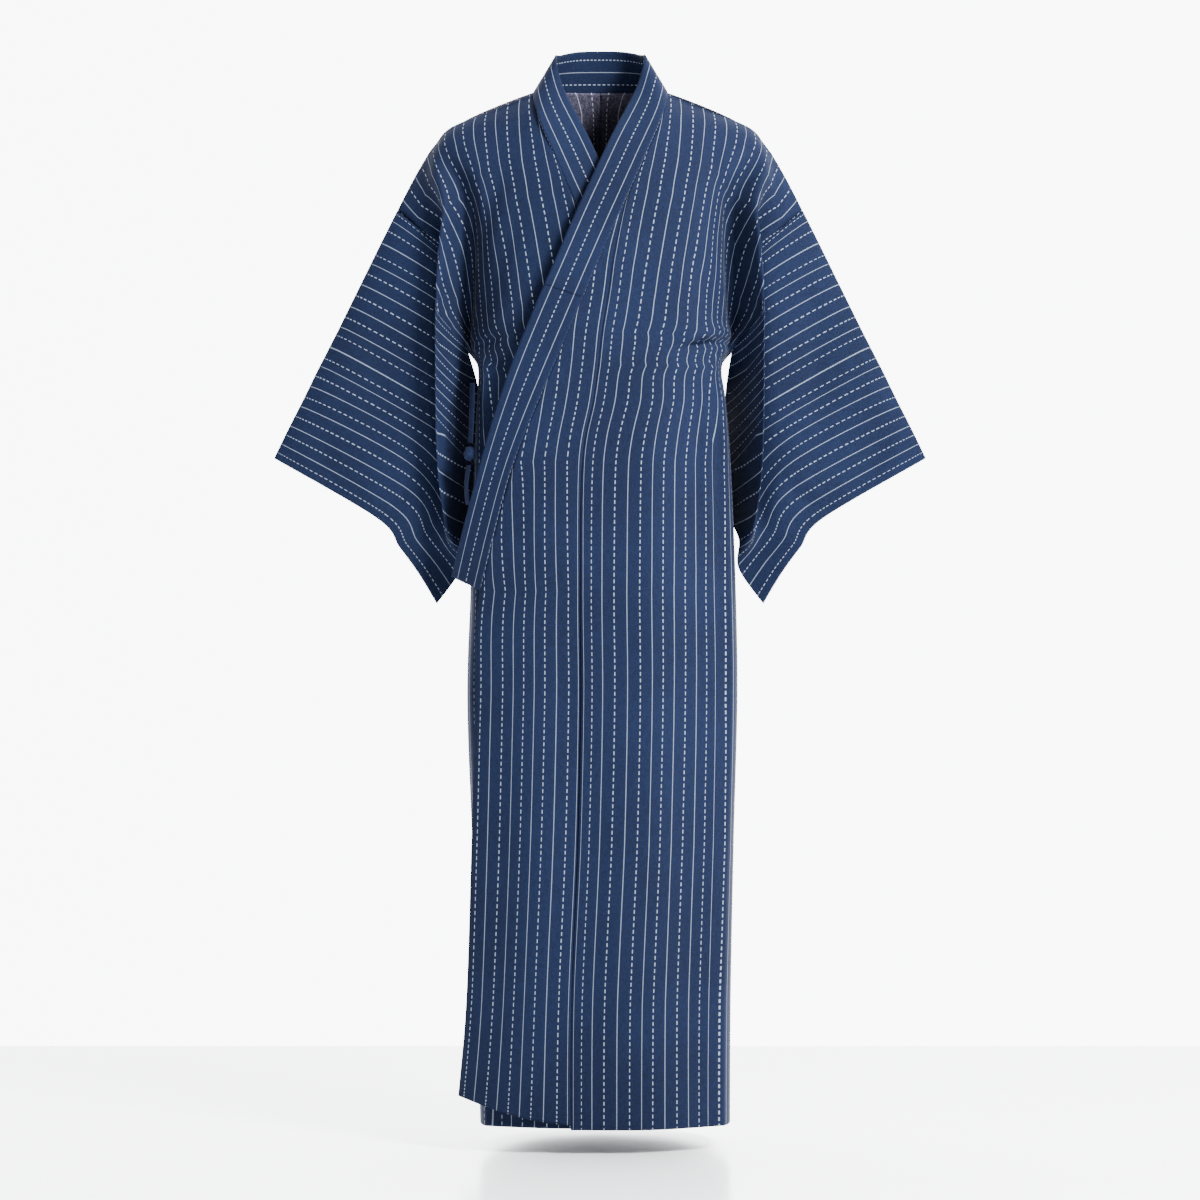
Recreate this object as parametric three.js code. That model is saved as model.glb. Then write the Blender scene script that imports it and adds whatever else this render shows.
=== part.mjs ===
// A cotton yukata robe, worn shape, hollow: every piece of cloth is a thin lofted sheet.
// Frame: +X is the wearer's left, -Y is the front, +Z is up, origin at the neck hole's middle.
import * as THREE from 'three';
import { mergeVertices } from 'three/addons/utils/BufferGeometryUtils.js';

// ---- Driving sizes, mm ----
const CLOTH = 1.6; // wall of one layer
const BAND = 2.6; // the doubled collar band
const SEAM = 0.4; // each piece stops this far short of a seam line
const LAYER = 15; // the under front lies this far behind the outer one
const SLEEVE_BOTTOM_GAP = 0.7; // half the opening kept along a sleeve's bottom seam
const FOOT_IN = { left: 0, right: 7 }; // the right sleeve's foot hangs closer, by the narrower hip
const ARM_GAP = 3.4; // the sleeve starts this far from the armhole line, round its folds
const FOLD_GAP = 0.9; // half the gap where a front and a back meet on the shoulder line
const COLLAR_GAP = 3; // the outer overlap stops this far short of the slanting collar

const NAVY = { color: 0x26365c, roughness: 0.9, metalness: 0.0 };
const NAVY_BAND = { color: 0x22325a, roughness: 0.88, metalness: 0.0 };
const NAVY_TIE = { color: 0x1f2c4e, roughness: 0.9, metalness: 0.0 };

// Height of the shoulder line, by distance from the middle.
const SHOULDER = [
  { x: 0, z: 6 }, { x: 88, z: 6 }, { x: 136, z: -15 }, { x: 181, z: -31 }, { x: 203, z: -42 },
  { x: 222, z: -62 }, { x: 234, z: -77 }, { x: 300, z: -205 }, { x: 450, z: -500 },
];
// How far the chest stands forward, by the drop below the shoulder line.
const CHEST = [
  { drop: 0, out: 0 }, { drop: 4, out: 9 }, { drop: 15, out: 20 }, { drop: 40, out: 38 },
  { drop: 85, out: 62 }, { drop: 135, out: 82 }, { drop: 215, out: 96 }, { drop: 330, out: 103 },
  { drop: 500, out: 105 }, { drop: 1500, out: 106 },
];
// Width at which the front has curved right back, by height.
const REACH = [
  { z: 10, w: 420 }, { z: -60, w: 300 }, { z: -130, w: 218 }, { z: -190, w: 196 },
  { z: -270, w: 185 }, { z: -345, w: 190 }, { z: -420, w: 190 }, { z: -560, w: 196 },
  { z: -1500, w: 198 },
];
// The body tube by height: half widths on the wearer's left and right, depth of the back, and
// where the two overlap seams and the outer front's free edge run.
const BODY = [
  { z: -372, left: 163, right: 164, back: 149, seam: -3, edge: -66 },
  { z: -420, left: 169, right: 166, back: 148, seam: -10, edge: -84 },
  { z: -500, left: 176, right: 169, back: 147, seam: -24, edge: -115 },
  { z: -673, left: 183, right: 175, back: 148, seam: -26, edge: -161 },
  { z: -820, left: 185, right: 179, back: 149, seam: -25, edge: -167 },
  { z: -1010, left: 180, right: 173, back: 150, seam: -29, edge: -172 },
  { z: -1220, left: 176, right: 166, back: 149, seam: -38, edge: -179 },
  { z: -1390, left: 175, right: 161, back: 147, seam: -39, edge: -190 },
];
const SIDE_Y = -30; // the widest line of the tube
const HEM_FRONT = -1390;
const HEM_BACK = -1414;
const HEM_CORNER = -1355; // the outer overlap's free corner is drawn up

// Upper front, sections fanning from the shoulder line to the armhole's foot: inner seam and
// chest as [x, z], then edge of the chest, armpit, fold ridge, fold valley and armhole seam.
const FRONT_ROWS = [
  { seam: [88, 6], chest: [150, -20], edge: [203, 0, -42], pit: [223, 0, -64],
    ridge: [237, 0, -83], valley: [256, 0, -117], arm: [276, 0, -156] },
  { seam: [84, -30], chest: [147, -42], edge: [198, -24, -64], pit: [216, -23, -86],
    ridge: [226, -26, -106], valley: [238, -15, -138], arm: [252, -9, -178] },
  { seam: [62, -84], chest: [138, -95], edge: [167, -50, -120], pit: [181, -24, -138],
    ridge: [213, -46, -152], valley: [204, -9, -184], arm: [219, -17, -204] },
  { seam: [40, -135], chest: [128, -150], edge: [160, -46, -190], pit: [176, -4, -200],
    ridge: [217, -50, -208], valley: [205, -9, -224], arm: [202, 3, -230] },
  { seam: [19, -215], chest: [120, -240], edge: [163, -38, -262], pit: [177, 10, -272],
    ridge: [216, -42, -278], valley: [219, -46, -281], arm: [221, -49, -284] },
  { seam: [11, -270], chest: [119, -285], edge: [165, -34, -298], pit: [177, 14, -305],
    ridge: [193, -8, -312], valley: [200, -18, -315], arm: [206, -27, -318] },
  { seam: [2, -325], chest: [118, -330], edge: [169, -36, -336], pit: [174, -4, -341],
    ridge: [176, 2, -343], valley: [178, 6, -344], arm: [180, 9, -345] },
];
// Upper back, the same sections: centre, neck side, back, edge, armpit, ridge, armhole seam.
const BACK_ROWS = [
  { centre: [0, 64, 14], neck: [66, 44, 12], blade: [90, 0, 6], edge: [181, 0, -31],
    pit: [223, 0, -64], ridge: [250, 0, -106], arm: [276, 0, -156] },
  { centre: [0, 86, -16], neck: [70, 62, -12], blade: [118, 36, -22], edge: [178, 30, -48],
    pit: [216, 24, -82], ridge: [238, 17, -124], arm: [252, 10, -178] },
  { centre: [0, 110, -58], neck: [66, 100, -60], blade: [120, 84, -74], edge: [168, 62, -104],
    pit: [196, 44, -138], ridge: [217, 44, -168], arm: [225, 36, -206] },
  { centre: [0, 127, -110], neck: [62, 120, -114], blade: [118, 104, -130], edge: [162, 74, -162],
    pit: [184, 50, -190], ridge: [214, 66, -210], arm: [214, 60, -234] },
  { centre: [0, 143, -215], neck: [60, 138, -218], blade: [114, 120, -228], edge: [160, 80, -250],
    pit: [178, 48, -268], ridge: [207, 74, -280], arm: [206, 66, -286] },
  { centre: [0, 147, -268], neck: [60, 143, -270], blade: [114, 124, -278], edge: [162, 78, -298],
    pit: [177, 42, -308], ridge: [192, 54, -315], arm: [196, 50, -320] },
  { centre: [0, 149, -330], neck: [60, 145, -331], blade: [114, 126, -334], edge: [167, 74, -340],
    pit: [176, 40, -343], ridge: [179, 30, -344], arm: [180, 22, -345] },
];
// Sleeve front, a section every so far from the armhole seam: top fold, outer turn, fold
// valley, fold ridge and bottom seam.
const SLEEVE_FRONT = [
  { top: [276, 0, -156], turn: [219, -17, -204], valley: [202, 3, -230], ridge: [221, -49, -284],
    foot: [180, 9, -346] },
  { top: [304, 0, -212], turn: [226, -19, -256], valley: [203, 3, -284], ridge: [221, -50, -330],
    foot: [172, 46, -412] },
  { top: [361, 0, -329], turn: [238, -16, -396], valley: [208, -4, -420], ridge: [220, -46, -444],
    foot: [173, 47, -522] },
  { top: [383, 0, -373], turn: [250, -14, -444], valley: [209, -4, -480], ridge: [217, -42, -522],
    foot: [178, 34, -570] },
  { top: [400, 0, -408], turn: [262, -12, -478], valley: [206, 2, -545], ridge: [209, -36, -585],
    foot: [189, -8, -603] },
  { top: [422, 0, -452], turn: [263, -11, -538], valley: [228, -4, -590], ridge: [208, 1, -618],
    foot: [189, 5, -641] },
  { top: [442, 0, -492], turn: [303, -8, -573], valley: [272, -6, -613], ridge: [246, -4, -649],
    foot: [222, -2, -689] },
];
// Sleeve back, the same sections: top fold, two stations down the back and the bottom seam.
const SLEEVE_BACK = [
  { top: [276, 0, -156], upper: [225, 36, -206], lower: [206, 66, -286], foot: [180, 22, -346] },
  { top: [304, 0, -212], upper: [248, 36, -262], lower: [212, 80, -345], foot: [172, 50, -412] },
  { top: [361, 0, -329], upper: [288, 32, -392], lower: [222, 76, -460], foot: [173, 51, -522] },
  { top: [383, 0, -373], upper: [302, 30, -440], lower: [226, 62, -508], foot: [178, 38, -570] },
  { top: [400, 0, -408], upper: [316, 28, -478], lower: [232, 36, -560], foot: [189, -4, -603] },
  { top: [422, 0, -452], upper: [340, 27, -508], lower: [250, 31, -574], foot: [189, 9, -641] },
  { top: [442, 0, -492], upper: [360, 25, -536], lower: [281, 26, -592], foot: [222, 2, -689] },
];
// Collar from the back of the neck to the outer end: seam edge and free edge.
const COLLAR_NECK = [
  { seam: [0, 65, 17], free: [0, 53, 70] },
  { seam: [46, 57, 16], free: [30, 46, 68] },
  { seam: [80, 28, 13], free: [53, 24, 60] },
  { seam: [90, -2, 9], free: [60, -4, 52] },
];
const COLLAR_CHEST = [
  { seam: [84, -30], free: [49, 9] },
  { seam: [62, -84], free: [18, -54] },
  { seam: [40, -135], free: [-6, -107] },
  { seam: [19, -182], free: [-30, -160] },
  { seam: [-4, -235], free: [-54, -216] },
  { seam: [-36, -311], free: [-88, -294] },
  { seam: [-69, -388], free: [-121, -376] },
  { seam: [-98, -456], free: [-147, -454] },
  { seam: [-122, -521], free: [-167, -526] },
  { seam: [-143, -600], free: [-186, -598] },
  { seam: [-160, -671], free: [-199, -653] },
];
const COVER_END = 5; // the cover collar stops short of this row of COLLAR_CHEST
const COVER_FROM = 2.1; // its wall lies this far outside the band's middle
const COVER_TO = 3.4;
const TUCK = { from: 115, share: 0.42 }; // an under piece is drawn in past this x
const FLAP = { from: -60, share: 0.72 }; // the outer flap curves back less past this x
const NECK_LIFT = 8; // the free edge rolls back this much where the neck meets the chest

const TIE = {
  width: 10,
  thick: 1.6,
  lump: [8, 9, 10],
  knot: [-175, -64, -488],
  way: [-0.6, 0.8, 0],
  strap: [[-172, -48, -392], [-172, -56, -430], [-174, -62, -473]],
  end: [[-176, -65, -503], [-179, -67, -530], [-177, -69, -556]],
};

// ---- Small helpers ----

/** Value of column `key` in a table, read at `at` along column `by` (rows either way up). */
function read(table, by, key, at) {
  const up = table[table.length - 1][by] > table[0][by] ? 1 : -1;
  const last = table.length - 1;
  if (up * (at - table[0][by]) <= 0) return table[0][key];
  for (let i = 0; i < last; i += 1) {
    const a = table[i];
    const b = table[i + 1];
    if (up * (at - b[by]) <= 0) return a[key] + (b[key] - a[key]) * (at - a[by]) / (b[by] - a[by]);
  }
  return table[last][key];
}

/** How far forward (a negative y) the outer front lies at x, z. */
function frontY(x, z) {
  const side = Math.abs(x);
  const drop = Math.max(0, read(SHOULDER, 'x', 'z', side) - z);
  const curve = Math.min(1, side / read(REACH, 'z', 'w', z)) ** 4;
  return -read(CHEST, 'drop', 'out', drop) * (1 - curve);
}

/** A smooth curve through points, sampled with `per` steps to each span. */
function throughPoints(points, per) {
  const out = [];
  const n = points.length;
  for (let i = 0; i < n - 1; i += 1) {
    const p = [points[Math.max(0, i - 1)], points[i], points[i + 1], points[Math.min(n - 1, i + 2)]];
    for (let k = 0; k < per; k += 1) {
      const t = k / per;
      const w = [
        (-t + 2 * t * t - t ** 3) / 2,
        (2 - 5 * t * t + 3 * t ** 3) / 2,
        (t + 4 * t * t - 3 * t ** 3) / 2,
        (t ** 3 - t * t) / 2,
      ];
      const q = new THREE.Vector3();
      w.forEach((share, j) => q.addScaledVector(p[j], share));
      out.push(q);
    }
  }
  out.push(points[n - 1].clone());
  return out;
}

/** Grid of points through rows of stations, `across` and `down` steps to a span. */
function loft(rows, across, down) {
  const fine = rows.map((row) => throughPoints(row, across));
  const columns = fine[0].map((_, j) => throughPoints(fine.map((row) => row[j]), down));
  return columns[0].map((_, i) => columns.map((column) => column[i]));
}

/** Draws the first and last columns of a grid in by the given lengths. */
function trim(grid, { start = 0, end = 0 }) {
  const pull = (p, q, by) => p.add(q.clone().sub(p).setLength(by));
  for (const row of grid) {
    if (start) pull(row[0], row[1], start);
    if (end) pull(row[row.length - 1], row[row.length - 2], end);
  }
  return grid;
}

/** Unit normals of a grid of points. */
function normals(grid) {
  const rows = grid.length;
  const cols = grid[0].length;
  return grid.map((row, i) => row.map((_, j) => {
    const along = row[Math.min(cols - 1, j + 1)].clone().sub(row[Math.max(0, j - 1)]);
    const down = grid[Math.min(rows - 1, i + 1)][j].clone().sub(grid[Math.max(0, i - 1)][j]);
    return along.cross(down).normalize();
  }));
}

/** Closed thin wall on a grid, from `from` to `to` along its normals. */
function wall(grid, from, to) {
  const rows = grid.length;
  const cols = grid[0].length;
  const unit = normals(grid);
  const at = [];
  for (const out of [from, to]) {
    grid.forEach((row, i) => row.forEach((p, j) => {
      const q = p.clone().addScaledVector(unit[i][j], out);
      at.push(q.x, q.y, q.z);
    }));
  }
  const id = (side, i, j) => side * rows * cols + i * cols + j;
  const index = [];
  const quad = (a, b, c, d) => index.push(a, b, c, a, c, d);
  for (let i = 0; i < rows - 1; i += 1) {
    for (let j = 0; j < cols - 1; j += 1) {
      quad(id(1, i, j), id(1, i, j + 1), id(1, i + 1, j + 1), id(1, i + 1, j));
      quad(id(0, i, j), id(0, i + 1, j), id(0, i + 1, j + 1), id(0, i, j + 1));
    }
  }
  const rim = (from0, from1) => quad(id(0, ...from0), id(0, ...from1), id(1, ...from1), id(1, ...from0));
  for (let j = 0; j < cols - 1; j += 1) {
    rim([0, j], [0, j + 1]);
    rim([rows - 1, j + 1], [rows - 1, j]);
  }
  for (let i = 0; i < rows - 1; i += 1) {
    rim([i + 1, 0], [i, 0]);
    rim([i, cols - 1], [i + 1, cols - 1]);
  }
  const geometry = new THREE.BufferGeometry();
  geometry.setAttribute('position', new THREE.Float32BufferAttribute(at, 3));
  geometry.setIndex(index);
  geometry.computeVertexNormals();
  return geometry;
}

const vec = ([x, y, z]) => new THREE.Vector3(x, y, z);

// ---- The body's panels ----

/** Lower front section of one side: from the overlap seam round to the side seam. */
function lowerFront(z, half, seamX, bottom) {
  const near = half * 0.87;
  const yNear = frontY(near, z);
  const at = (x, y) => new THREE.Vector3(x, y, bottom ?? z);
  return [
    at(seamX, frontY(seamX, z)),
    at(seamX + (near - seamX) * 0.55, frontY(seamX + (near - seamX) * 0.55, z)),
    at(near, yNear),
    at(half * 0.965, yNear * 0.66 + SIDE_Y * 0.34),
    at(half, SIDE_Y),
    at(half, SIDE_Y + 14),
    at(half - 1.5, SIDE_Y + 30),
  ];
}

/** Lower back section of one side: from the centre seam round to the side seam. */
function lowerBack(z, half, depth, bottom) {
  const ring = [0, 26, 50, 66, 79, 88, 97].map((degrees) => degrees * Math.PI / 180);
  return ring.map((a, k) => {
    const x = k === 6 ? half - 1.5 : half * Math.min(1, Math.sin(a)) ** 0.86;
    const y = k === 6 ? SIDE_Y + 31 : SIDE_Y + (depth - SIDE_Y) * Math.cos(a) ** 0.86;
    const hem = HEM_FRONT + (bottom - HEM_FRONT) * Math.max(0, Math.cos(a));
    return new THREE.Vector3(x, k === 5 ? SIDE_Y + 46 : y, bottom ? hem : z);
  });
}

/** Front panel of the wearer's left or right side, from the shoulder line to the hem. */
function frontPanel(side) {
  const inner = side === 'left' ? 0 : LAYER;
  const rows = FRONT_ROWS.map((row) => [
    ...[row.seam, row.chest].map(([x, z]) => new THREE.Vector3(x, frontY(x, z), z)),
    ...[row.edge, row.pit, row.ridge, row.valley, row.arm].map(vec),
  ]);
  for (const row of BODY) {
    const last = row === BODY[BODY.length - 1];
    rows.push(lowerFront(row.z, row[side], row.seam, last ? HEM_FRONT : undefined));
  }
  if (inner) {
    rows.forEach((row, i) => row.slice(0, 4).forEach((p, j) => {
      const share = Math.min(1, i / 3) * [1, 1, 0.7, 0.3][j];
      p.y += inner * share;
    }));
  }
  rows[0].forEach((p) => { p.y = -FOLD_GAP; });
  return rows;
}

/** Back panel of one side, from the shoulder line to the hem. */
function backPanel(side) {
  const rows = BACK_ROWS.map((row) => Object.values(row).map(vec));
  for (const row of BODY) {
    const last = row === BODY[BODY.length - 1];
    rows.push(lowerBack(row.z, row[side], row.back, last ? HEM_BACK : undefined));
  }
  rows[0].slice(2).forEach((p) => { p.y = FOLD_GAP; });
  return rows;
}

/** Sideways place of an under piece: past the hip it stays inside the outer front. */
const tuck = (x) => (Math.abs(x) < TUCK.from ? x
  : Math.sign(x) * (TUCK.from + (Math.abs(x) - TUCK.from) * TUCK.share));

/** Depth of the outer overlap and collar: past the middle they stand off the hip, flatter. */
const flapY = (x, z) => frontY(x > FLAP.from ? x : FLAP.from + (x - FLAP.from) * FLAP.share, z);

/** Overlap panel, sewn to a front panel's inner edge: `level` is its depth behind the outer one. */
function overlapPanel(level) {
  const seams = [{ z: -165, seam: 31 }, ...FRONT_ROWS.slice(4).map((row) => (
    { z: row.seam[1], seam: row.seam[0] })), ...BODY];
  const collarAt = COLLAR_CHEST.map(({ seam }) => ({ z: seam[1], edge: seam[0] }));
  return seams.map(({ z, seam }) => {
    const full = z < -672 ? read(BODY, 'z', 'edge', z) : read(collarAt, 'z', 'edge', z) + COLLAR_GAP;
    const edge = level ? tuck(full) : full;
    const last = z === BODY[BODY.length - 1].z;
    const rise = level ? 0 : HEM_CORNER - HEM_FRONT;
    return [0, 1 / 3, 2 / 3, 1].map((share) => {
      const x = seam + (edge - seam) * share;
      const y = level ? frontY(x, z) + level : flapY(x, z);
      return new THREE.Vector3(x, y, last ? HEM_FRONT + 6 + rise * share ** 1.5 : z);
    });
  });
}

// ---- Collar ----

/** The collar's sections from the back of the neck down one front. */
function collarRows(level) {
  const chest = COLLAR_CHEST.map(({ seam, free }, i) => [seam, free].map(([x, z], k) => {
    const lift = i === 0 ? NECK_LIFT * k : 0;
    const sunk = level * Math.min(1, i / 1.5);
    const side = level ? tuck(x) : x;
    const depth = level ? frontY : flapY;
    return new THREE.Vector3(side, depth(side, Math.min(z, -10)) + sunk + lift, z);
  }));
  return [...COLLAR_NECK.map(({ seam, free }) => [vec(seam), vec(free)]), ...chest];
}

/** Sections across the band, with a middle station. */
const banded = (rows) => rows.map(([a, b]) => [a, a.clone().lerp(b, 0.5), b]);

// ---- Building ----

const robe = new THREE.Group();

/** Adds one named piece. */
function piece(name, geometry, finish) {
  const mesh = new THREE.Mesh(geometry, new THREE.MeshStandardMaterial(finish));
  mesh.name = name;
  robe.add(mesh);
}

/** The wall of one layer on a grid. */
const cloth = (grid) => wall(grid, -CLOTH / 2, CLOTH / 2);
const body = { end: 2.5 * SEAM, start: 2 * SEAM };

/** Grid of a panel on the wearer's left; its columns run from the middle to the side. */
const panelGrid = (rows) => trim(loft(rows, 2, 2), body);

/** The same grid turned into the wearer's other side. */
const flip = (grid) => grid.map((row) => row.map((p) => new THREE.Vector3(-p.x, p.y, p.z)).reverse());

/** A grid with its columns in the other order, which turns its faces round. */
const turned = (grid) => grid.map((row) => row.slice().reverse());

const ARM_ROWS = 2 * (FRONT_ROWS.length - 1); // grid rows from the shoulder line to the armhole's foot

/** Sleeve as one cloth folded over the arm, its first section sewn to the two panels. */
function sleeveGrid(frontGrid, backGrid, footIn) {
  const closer = (row, i) => Object.values(row).map((place, k, all) => {
    const last = k === all.length - 1 && i > 0 && i < 4;
    return vec(place).add(new THREE.Vector3(last ? -footIn : 0, 0, 0));
  });
  const rows = SLEEVE_FRONT.map((row, i) => {
    const down = throughPoints(closer(row, i), 3);
    const front = [0, 2, 3, 6, 9, 11, 12].map((k) => down[k]);
    const rear = throughPoints(closer(SLEEVE_BACK[i], i), 2).slice(1);
    front[front.length - 1].y -= SLEEVE_BOTTOM_GAP;
    rear[rear.length - 1].y += SLEEVE_BOTTOM_GAP;
    return [...front.reverse(), ...rear];
  });
  const grid = loft(rows, 2, 1);
  const hang = new THREE.Vector3(0.47, 0, -0.88);
  const seam = [];
  for (let i = ARM_ROWS; i > 0; i -= 1) seam.push(frontGrid[i][frontGrid[i].length - 1]);
  for (let i = 0; i <= ARM_ROWS; i += 1) seam.push(backGrid[i][backGrid[i].length - 1]);
  grid[0] = seam.map((p) => p.clone().addScaledVector(hang, ARM_GAP));
  return grid;
}

const grids = { left: {}, right: {} };
for (const side of ['left', 'right']) {
  grids[side].front = panelGrid(frontPanel(side));
  grids[side].back = panelGrid(backPanel(side));
  grids[side].sleeve = sleeveGrid(grids[side].front, grids[side].back, FOOT_IN[side]);
}

piece('front_left', cloth(grids.left.front), NAVY);
piece('front_right', cloth(flip(grids.right.front)), NAVY);
piece('back_left', cloth(turned(grids.left.back)), NAVY);
piece('back_right', cloth(turned(flip(grids.right.back))), NAVY);
piece('sleeve_left', cloth(grids.left.sleeve), NAVY);
piece('sleeve_right', cloth(flip(grids.right.sleeve)), NAVY);

const overlap = { start: 3 * SEAM, end: SEAM };
piece('overlap_left', cloth(turned(trim(loft(overlapPanel(0), 2, 2), overlap))), NAVY);
piece('overlap_right', cloth(turned(flip(trim(loft(overlapPanel(LAYER), 2, 2), overlap)))), NAVY);

const outerHalf = banded(collarRows(0));
const underHalf = banded(collarRows(LAYER)).map((row) => row.map((p) => new THREE.Vector3(-p.x, p.y, p.z)));
const collar = trim(loft([...underHalf.slice(1).reverse(), ...outerHalf], 1, 2), { start: 2 * SEAM });
piece('collar', wall(collar, -BAND / 2, BAND / 2), NAVY_BAND);

// The cover collar lies on the outer half of the band, from the back of the neck to its cross seam.
const bandMiddle = 2 * (underHalf.length - 1);
const coverRows = collar.slice(bandMiddle + 1, bandMiddle + 2 * (COLLAR_NECK.length + COVER_END));
piece('collar_cover', wall(coverRows, COVER_FROM, COVER_TO), NAVY_BAND);

// ---- Ties on the wearer's right side, under the sleeve ----

/** A flat tie through a few places, laid as a thin strip. */
function strip(places, width) {
  const middle = throughPoints(places.map(vec), 3);
  return wall(middle.map((p) => [-0.5, 0.5].map((k) => p.clone().add(vec(TIE.way).multiplyScalar(k * width)))),
    -TIE.thick / 2, TIE.thick / 2);
}

/** A small closed lump for the bow's knot. */
function knot(at, size) {
  const lump = new THREE.SphereGeometry(1, 10, 7);
  lump.scale(...size);
  lump.translate(...at);
  return mergeVertices(stripped(lump), 1e-3);
}

/** Geometry with its places only, ready to be welded. */
function stripped(geometry) {
  geometry.deleteAttribute('normal');
  geometry.deleteAttribute('uv');
  return geometry;
}

piece('tie_strap', strip(TIE.strap, TIE.width), NAVY_TIE);
piece('tie_knot', knot(TIE.knot, TIE.lump), NAVY_TIE);
piece('tie_end', strip(TIE.end, TIE.width), NAVY_TIE);

export default robe;
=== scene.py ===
"""A cotton yukata robe, worn and hollow, as thin lofted cloth on the frame's solids.

Frame: +X is the wearer's left, -Y the front, +Z up; sizes in the tables are millimetres.
"""
import logging
import math
from dataclasses import dataclass
from enum import Enum
from typing import Iterable, Sequence

import bmesh
import bpy
import numpy as np
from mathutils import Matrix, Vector


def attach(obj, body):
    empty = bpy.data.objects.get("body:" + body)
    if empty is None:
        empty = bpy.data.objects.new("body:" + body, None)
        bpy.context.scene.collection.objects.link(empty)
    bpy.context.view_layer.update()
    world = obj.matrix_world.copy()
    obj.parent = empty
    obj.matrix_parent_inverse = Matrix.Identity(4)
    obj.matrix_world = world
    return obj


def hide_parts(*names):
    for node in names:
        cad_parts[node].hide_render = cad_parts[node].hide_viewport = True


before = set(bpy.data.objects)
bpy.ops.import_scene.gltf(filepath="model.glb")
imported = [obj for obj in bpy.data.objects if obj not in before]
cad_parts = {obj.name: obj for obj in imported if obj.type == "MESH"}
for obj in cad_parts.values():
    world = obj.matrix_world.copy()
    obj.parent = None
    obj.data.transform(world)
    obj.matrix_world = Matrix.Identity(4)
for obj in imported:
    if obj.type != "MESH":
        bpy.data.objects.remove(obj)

LOG = logging.getLogger("robe")
MM = 0.001
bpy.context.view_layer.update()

# ---- Driving sizes, mm ----
CLOTH = 1.1  # wall of one layer
BAND = 2.2  # the doubled collar band
FOLD_GAP = 0.6  # half the gap where a front and a back meet on the shoulder line
LAYER = 15.0  # the under front lies this far behind the outer one
SIDE_Y = -30.0  # widest line of the body tube
HEM_FRONT = -1390.0
HEM_BACK = -1414.0
HEM_CORNER = -1355.0
STRIPE_PITCH = 14.7  # a solid and a dashed stripe by turns
FAR = 88000.0  # puts every dash's place above zero
STITCH = 1.1  # half the length of one stitch in a solid stripe
FIRST_STRIPE = 56.0  # a solid stripe lies this far from the centre back of the cloth
SEAM_AT = 50.0  # the front's inner edge, measured across the same cloth
ARM_AT = 338.0  # the sleeve seam
BAND_WIDE = 57.0
BAND_STRIPE = 13.5  # the first solid stripe's distance from the band's free edge
SLEEVE_STRIPE = 6.5  # the first dashed stripe's distance from the armhole seam
FLAP_FROM = -60.0  # past this x the outer flap curves back less
FLAP_SHARE = 0.72
TUCK_FROM = 115.0  # past this x an under piece is drawn in
TUCK_SHARE = 0.42
OVERLAP_WIDE = 150.0
OVERLAP_TOP = (-150, 35)  # height and seam of the overlap's first section
COLLAR_FOOT = -672.0  # below this height the overlap's edge is free
HEM_TURN = 6.0  # the overlap's hem hangs this far short of the front's
NECK_LIFT = 8.0  # the collar's free edge rolls back where neck and chest meet
LAYER_SHARE = (1, 1, 0.7, 0.3, 0, 0, 0)  # how much of the layer's depth each station takes
FLOOR_Z = -1.424
EYE_LEVEL = -0.684
EYE_AWAY = 5.0
LENS = 110.3
FINE = 6.5  # spacing of the finished meshes

SHOULDER = [(0, 6), (88, 6), (136, -15), (181, -31), (203, -42), (222, -62), (234, -77),
            (300, -205), (450, -500)]
CHEST = [(0, 0), (4, 9), (15, 20), (40, 38), (85, 62), (135, 82), (215, 96), (330, 103),
         (500, 105), (1500, 106)]
REACH = [(-1500, 198), (-560, 196), (-420, 190), (-345, 190), (-270, 185), (-190, 196),
         (-130, 218), (-60, 300), (10, 420)]
# z, half width left and right, depth of the back, overlap seam x, free edge x, side seam's cut
BODY_KEYS = ("z", "left", "right", "back", "seam", "edge", "cut")
BODY = [
    (-372, 163, 164, 149, -3, -66, 332),
    (-420, 169, 166, 148, -10, -84, 324),
    (-500, 176, 169, 147, -24, -115, 312),
    (-673, 183, 175, 148, -26, -161, 302),
    (-820, 185, 179, 149, -25, -167, 300),
    (-1010, 180, 173, 150, -29, -172, 300),
    (-1220, 176, 166, 149, -38, -179, 300),
    (-1390, 175, 161, 147, -39, -190, 300),
]
# Upper front: inner seam and chest (x, z); then edge, armpit, ridge, valley, armhole seam; cut
FRONT_ROWS = [
    ((88, 6), (150, -20), (203, 0, -42), (223, 0, -64), (237, 0, -83), (256, 0, -117),
     (276, 0, -156), 88),
    ((84, -30), (147, -42), (198, -24, -64), (216, -23, -86), (226, -26, -106), (238, -15, -138),
     (252, -9, -178), 85),
    ((62, -84), (138, -95), (167, -50, -120), (181, -24, -138), (213, -46, -152), (204, -9, -184),
     (219, -17, -204), 70),
    ((40, -135), (128, -150), (160, -46, -190), (176, -4, -200), (217, -50, -208), (205, -9, -224),
     (202, 3, -230), 57),
    ((19, -215), (120, -240), (163, -38, -262), (177, 10, -272), (216, -42, -278), (219, -46, -281),
     (221, -49, -284), 50),
    ((11, -270), (119, -285), (165, -34, -298), (177, 14, -305), (193, -8, -312), (200, -18, -315),
     (206, -27, -318), 50),
    ((2, -325), (118, -330), (169, -36, -336), (174, -4, -341), (176, 2, -343), (178, 6, -344),
     (180, 9, -345), 50),
]
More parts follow.
